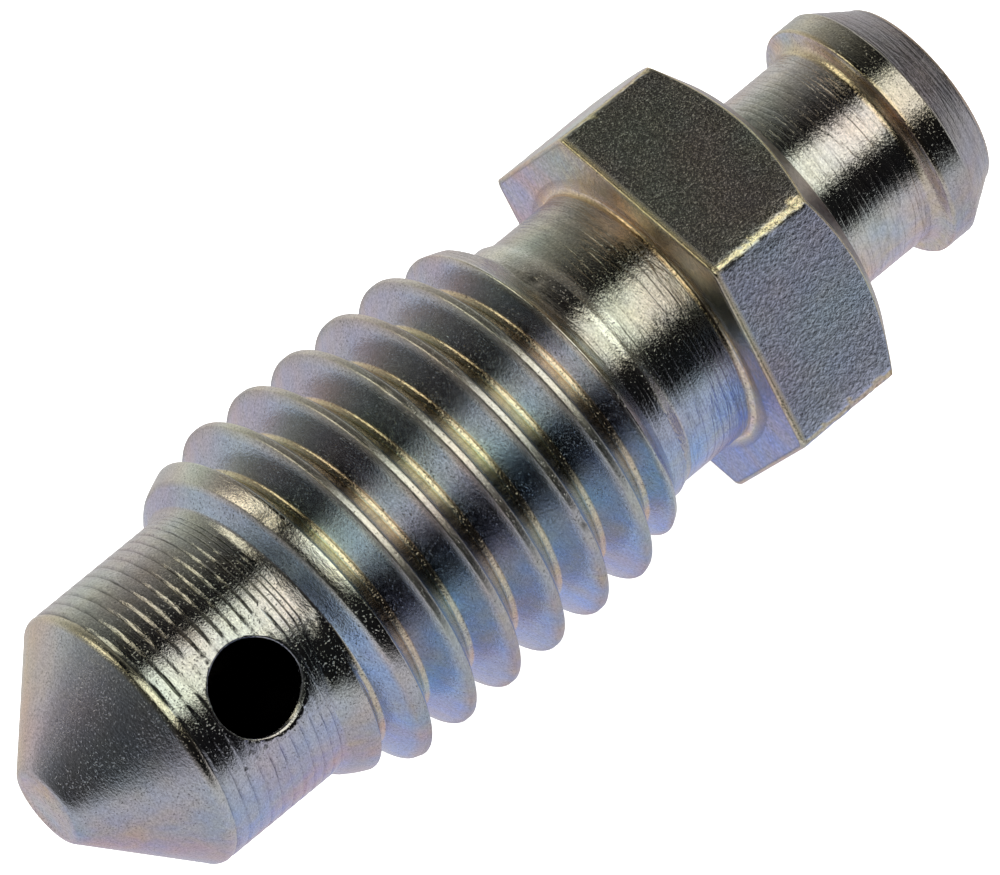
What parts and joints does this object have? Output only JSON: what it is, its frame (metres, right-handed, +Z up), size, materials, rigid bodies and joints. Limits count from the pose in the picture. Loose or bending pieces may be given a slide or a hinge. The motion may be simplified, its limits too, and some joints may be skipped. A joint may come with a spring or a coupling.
{
  "type": "bleeder screw",
  "caption": "Hollow bleeder screw: conical sealing tip, cross hole, coarse right-hand thread, plain shank, wrench hexagon, short neck and hose barb.",
  "frame": {"origin": "on the surface that the screw lies on, under the middle of its length and below its axis", "axes": "+X along the screw's axis from the conical tip to the hose barb, +Z up; two wrench flats face down and up, and two hexagon corners point along +Y and -Y"},
  "size_m": [0.0298, 0.0114, 0.0099],
  "materials": {
    "plated_steel": "turned steel with a thin bright zinc plating, faintly iridescent lavender and straw"
  },
  "bodies": {
    "root": {"bleeder_screw": "plated_steel"}
  },
  "joints": []
}
